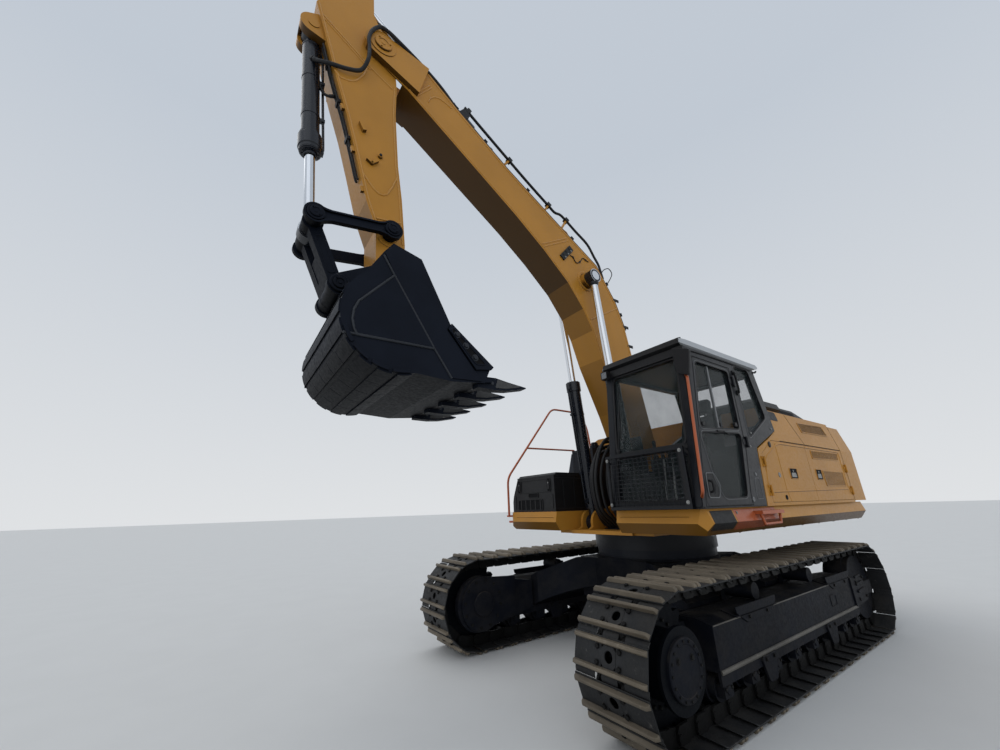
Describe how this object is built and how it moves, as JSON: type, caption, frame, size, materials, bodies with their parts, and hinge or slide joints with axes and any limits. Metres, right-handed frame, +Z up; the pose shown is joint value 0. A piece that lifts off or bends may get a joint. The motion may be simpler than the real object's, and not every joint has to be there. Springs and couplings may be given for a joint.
{
  "type": "crawler excavator",
  "caption": "Tracked excavator with a slewing cab and engine house, bent boom, stick, bucket and hydraulic cylinders, opening doors and lids.",
  "frame": {"origin": "middle of the machine's bounding box, on the ground", "axes": "+X to the front, where the boom reaches, +Y to the cab side, +Z up"},
  "size_m": [8.33, 3.19, 7.648],
  "materials": {
    "paint": "semi-gloss ochre yellow paint",
    "dark_paint": "satin blue-black paint",
    "shoe_steel": "worn bare steel",
    "chrome": "polished",
    "rail_orange": "gloss orange paint",
    "black_plastic": "moulded, fine grain",
    "roof_plastic": "moulded light grey",
    "glass": "clear with a faint green tint"
  },
  "bodies": {
    "undercarriage": {"x_frame": "dark_paint", "track_frame_left": "dark_paint", "track_frame_right": "dark_paint", "track_left": "shoe_steel", "track_right": "shoe_steel", "final_drives": "dark_paint", "idlers": "dark_paint", "rollers": "dark_paint", "swing_ring": "dark_paint"},
    "upper": {"main_frame": "paint", "deck_left": "paint", "deck_right": "paint", "cab_frame": "dark_paint", "cab_roof": "roof_plastic", "cab_glass": "glass", "front_guard": "dark_paint", "seat_and_consoles": "black_plastic", "handrails": "rail_orange", "mirror_and_lamps": "black_plastic", "engine_house": "paint", "engine": "dark_paint", "counterweight": "paint", "hydraulic_tank": "dark_paint", "air_intake": "black_plastic", "side_steps": "rail_orange", "toolbox": "black_plastic"},
    "cab_door": {"cab_door": "dark_paint", "cab_door_glass": "glass"},
    "toolbox_lid": {"toolbox_lid": "black_plastic"},
    "engine_hood": {"engine_hood": "black_plastic"},
    "side_door_front": {"side_door_front": "paint"},
    "side_door_rear": {"side_door_rear": "paint"},
    "side_door_right": {"side_door_right": "paint"},
    "boom": {"boom": "paint", "boom_pipes": "dark_paint"},
    "boom_cylinder_barrels": {"boom_cylinder_barrels": "dark_paint"},
    "boom_cylinder_rods": {"boom_cylinder_rods": "chrome"},
    "arm_cylinder_barrel": {"arm_cylinder_barrel": "dark_paint"},
    "arm_cylinder_rod": {"arm_cylinder_rod": "chrome"},
    "stick": {"stick": "paint"},
    "bucket_cylinder_barrel": {"bucket_cylinder_barrel": "dark_paint"},
    "bucket_cylinder_rod": {"bucket_cylinder_rod": "chrome"},
    "idler_links": {"idler_links": "dark_paint"},
    "bucket_link": {"bucket_link": "dark_paint"},
    "bucket": {"bucket": "dark_paint"}
  },
  "joints": [
    {"name": "swing", "type": "hinge", "parent": "undercarriage", "child": "upper", "pos_m": [-0.665, 0, 1.0398], "axis": [0, 0, 1], "continuous": true},
    {"name": "cab_door_hinge", "type": "hinge", "parent": "upper", "child": "cab_door", "pos_m": [-0.44, 1.475, 2.465], "axis": [0, 0, 1], "range_deg": [0, 155]},
    {"name": "toolbox_lid_hinge", "type": "hinge", "parent": "upper", "child": "toolbox_lid", "pos_m": [-0.23, -0.93, 1.978], "axis": [0, -1, 0], "range_deg": [0, 75]},
    {"name": "engine_hood_hinge", "type": "hinge", "parent": "upper", "child": "engine_hood", "pos_m": [-2.033, -0.14, 2.665], "axis": [0, 1, 0], "range_deg": [0, 60]},
    {"name": "side_door_front_hinge", "type": "hinge", "parent": "upper", "child": "side_door_front", "pos_m": [-0.747, 1.475, 1.79], "axis": [0, 0, 1], "range_deg": [-85, 0]},
    {"name": "side_door_rear_hinge", "type": "hinge", "parent": "upper", "child": "side_door_rear", "pos_m": [-3.323, 1.475, 1.79], "axis": [0, 0, -1], "range_deg": [-85, 0]},
    {"name": "side_door_right_hinge", "type": "hinge", "parent": "upper", "child": "side_door_right", "pos_m": [-3.323, -1.475, 1.79], "axis": [0, 0, 1], "range_deg": [-85, 0]},
    {"name": "boom_lift", "type": "hinge", "parent": "upper", "child": "boom", "pos_m": [-0.615, 0, 1.9], "axis": [0, -1, 0], "range_deg": [-78, 12]},
    {"name": "boom_cylinder_tilt", "type": "hinge", "parent": "upper", "child": "boom_cylinder_barrels", "pos_m": [0.035, 0, 1.34], "axis": [0, -1, 0], "range_deg": [-77, 13]},
    {"name": "boom_cylinder_slide", "type": "slide", "parent": "boom_cylinder_barrels", "child": "boom_cylinder_rods", "axis": [0.088, 0, 0.9961], "range_m": [-1.095, 0.175]},
    {"name": "stick_swing", "type": "hinge", "parent": "boom", "child": "stick", "pos_m": [3.35, 0, 6.553], "axis": [0, 1, 0], "range_deg": [-102, 8]},
    {"name": "arm_cylinder_tilt", "type": "hinge", "parent": "boom", "child": "arm_cylinder_barrel", "pos_m": [0.585, 0, 5.27], "axis": [0, -1, 0], "range_deg": [-1, 5]},
    {"name": "arm_cylinder_slide", "type": "slide", "parent": "arm_cylinder_barrel", "child": "arm_cylinder_rod", "axis": [0.8072, 0, 0.5902], "range_m": [-1.535, 0.125]},
    {"name": "bucket_curl", "type": "hinge", "parent": "stick", "child": "bucket", "pos_m": [3.055, 0, 3.62], "axis": [0, 1, 0], "range_deg": [-65, 90]},
    {"name": "idler_swing", "type": "hinge", "parent": "stick", "child": "idler_links", "pos_m": [3.099, 0, 4.088], "axis": [0, 1, 0], "range_deg": [-46, 67]},
    {"name": "bucket_link_swing", "type": "hinge", "parent": "bucket", "child": "bucket_link", "pos_m": [3.505, 0, 3.39], "axis": [0, 1, 0], "range_deg": [-67, 46]},
    {"name": "bucket_cylinder_tilt", "type": "hinge", "parent": "stick", "child": "bucket_cylinder_barrel", "pos_m": [4.035, 0, 6.42], "axis": [0, 1, 0], "range_deg": [-2, 2]},
    {"name": "bucket_cylinder_slide", "type": "slide", "parent": "bucket_cylinder_barrel", "child": "bucket_cylinder_rod", "axis": [-0.1084, 0, -0.9941], "range_m": [-0.43, 0.62]}
  ],
  "couplings": [
    {"joint": "boom_cylinder_tilt", "follows": "boom_lift", "ratio": 0.978},
    {"joint": "boom_cylinder_slide", "follows": "boom_lift", "m_per_rad": 0.798},
    {"joint": "arm_cylinder_tilt", "follows": "stick_swing", "ratio": -0.045},
    {"joint": "arm_cylinder_slide", "follows": "stick_swing", "m_per_rad": 0.859},
    {"joint": "idler_swing", "follows": "bucket_curl", "ratio": 0.7},
    {"joint": "bucket_link_swing", "follows": "bucket_curl", "ratio": -0.7},
    {"joint": "bucket_cylinder_tilt", "follows": "bucket_curl", "ratio": 0.02},
    {"joint": "bucket_cylinder_slide", "follows": "bucket_curl", "m_per_rad": 0.372}
  ]
}
